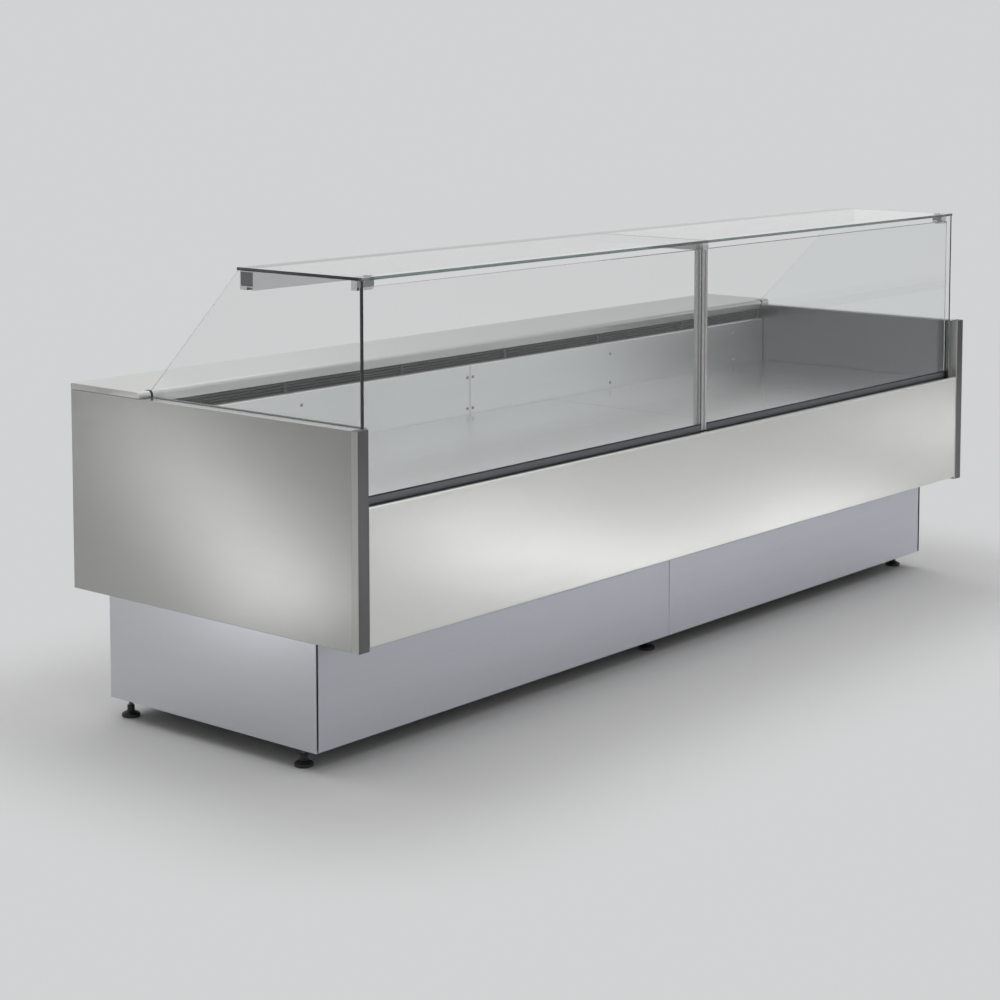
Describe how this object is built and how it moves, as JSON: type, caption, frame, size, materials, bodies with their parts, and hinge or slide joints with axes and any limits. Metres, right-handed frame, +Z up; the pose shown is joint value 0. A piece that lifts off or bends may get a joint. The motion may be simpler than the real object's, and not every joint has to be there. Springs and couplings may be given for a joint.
{
  "type": "refrigerated display case",
  "caption": "Long refrigerated serve-over counter: steel tub and plinth, flat display deck behind tilting vertical glass, glass ends and top, steel worktop on the service side.",
  "frame": {"origin": "on the floor, midway along the counter and midway from front to back", "axes": "+X along the counter to the customer's right, +Y towards the operator, +Z up"},
  "size_m": [3, 1.075, 1.253],
  "materials": {
    "frame_paint": "dull dark grey paint",
    "foot_black": "black moulded plastic",
    "plinth_grey": "cool grey satin paint",
    "galvanised": "galvanised sheet",
    "compressor_black": "black enamel",
    "coil_fins": "mill finish fins",
    "motor_grey": "grey enamel",
    "fan_blade": "dull pressed blades",
    "copper": "drawn copper tube",
    "foam_body": "rigid foam in thin skins",
    "inner_steel": "satin stainless",
    "grille_grey": "dark moulded grille",
    "worktop_steel": "bright satin stainless",
    "end_steel": "satin stainless",
    "dark_anodised": "dark anodised",
    "front_steel": "pale satin sheet",
    "rail_grey": "blue-grey anodised",
    "clear_glass": "clear toughened glass",
    "satin_aluminium": "satin anodised",
    "lamp_diffuser": "white diffuser",
    "clamp_chrome": "polished",
    "fascia_black": "black moulded plastic",
    "controller_black": "black gloss plastic",
    "rocker_black": "black gloss plastic"
  },
  "bodies": {
    "case": {"base_frame": "frame_paint", "feet": "foot_black", "plinth_front_left": "plinth_grey", "plinth_front_right": "plinth_grey", "plinth_left": "plinth_grey", "plinth_right": "plinth_grey", "plinth_rear_grille": "plinth_grey", "unit_tray": "galvanised", "condenser_shroud": "galvanised", "fan_plate": "galvanised", "compressor": "compressor_black", "condenser_coil": "coil_fins", "evaporator_coil": "coil_fins", "condenser_fan_motor": "motor_grey", "evaporator_fan_motor_left": "motor_grey", "evaporator_fan_motor_right": "motor_grey", "refrigerant_lines": "copper", "insulated_tub": "foam_body", "end_core_left": "foam_body", "end_core_right": "foam_body", "tub_liner": "inner_steel", "return_grille": "inner_steel", "deck_plate_left": "inner_steel", "deck_plate_middle": "inner_steel", "deck_plate_right": "inner_steel", "rear_wall_left": "inner_steel", "rear_wall_right": "inner_steel", "wall_screws": "inner_steel", "air_discharge_grille": "grille_grey", "worktop": "worktop_steel", "end_panel_left": "end_steel", "end_panel_right": "end_steel", "rear_panel": "end_steel", "end_profile_left": "dark_anodised", "end_profile_right": "dark_anodised", "front_panel": "front_steel", "front_glass_rail": "rail_grey", "side_glass_left": "clear_glass", "side_glass_right": "clear_glass", "top_glass_left": "clear_glass", "top_glass_right": "clear_glass", "centre_post": "satin_aluminium", "mid_arm": "satin_aluminium", "rear_rail": "satin_aluminium", "led_strip": "lamp_diffuser", "corner_clamp_left": "clamp_chrome", "corner_clamp_right": "clamp_chrome", "control_fascia": "fascia_black", "power_gland": "fascia_black", "controller": "controller_black"},
    "front_pane_left": {"front_pane_left": "clear_glass", "pane_holder_left": "rail_grey"},
    "front_pane_right": {"front_pane_right": "clear_glass", "pane_holder_right": "rail_grey"},
    "evaporator_fan_left": {"evaporator_fan_left": "fan_blade"},
    "evaporator_fan_right": {"evaporator_fan_right": "fan_blade"},
    "condenser_fan": {"condenser_fan": "fan_blade"},
    "rocker_main": {"rocker_main": "rocker_black"},
    "rocker_light": {"rocker_light": "rocker_black"}
  },
  "joints": [
    {"name": "front_pane_left_tilt", "type": "hinge", "parent": "case", "child": "front_pane_left", "pos_m": [-0.728, -0.4975, 0.68], "axis": [1, 0, 0], "range_deg": [0, 45]},
    {"name": "front_pane_right_tilt", "type": "hinge", "parent": "case", "child": "front_pane_right", "pos_m": [0.728, -0.4975, 0.68], "axis": [1, 0, 0], "range_deg": [0, 45]},
    {"name": "evaporator_fan_left_spin", "type": "hinge", "parent": "case", "child": "evaporator_fan_left", "pos_m": [-0.52, -0.1155, 0.54], "axis": [0, 1, 0], "continuous": true},
    {"name": "evaporator_fan_right_spin", "type": "hinge", "parent": "case", "child": "evaporator_fan_right", "pos_m": [0.52, -0.1155, 0.54], "axis": [0, 1, 0], "continuous": true},
    {"name": "condenser_fan_spin", "type": "hinge", "parent": "case", "child": "condenser_fan", "pos_m": [0.61, 0.2795, 0.184], "axis": [0, 1, 0], "continuous": true},
    {"name": "rocker_main_press", "type": "hinge", "parent": "case", "child": "rocker_main", "pos_m": [1.055, 0.39875, 0.775], "axis": [1, 0, 0], "range_deg": [0, 16]},
    {"name": "rocker_light_press", "type": "hinge", "parent": "case", "child": "rocker_light", "pos_m": [1.1, 0.39875, 0.775], "axis": [1, 0, 0], "range_deg": [0, 16]}
  ]
}
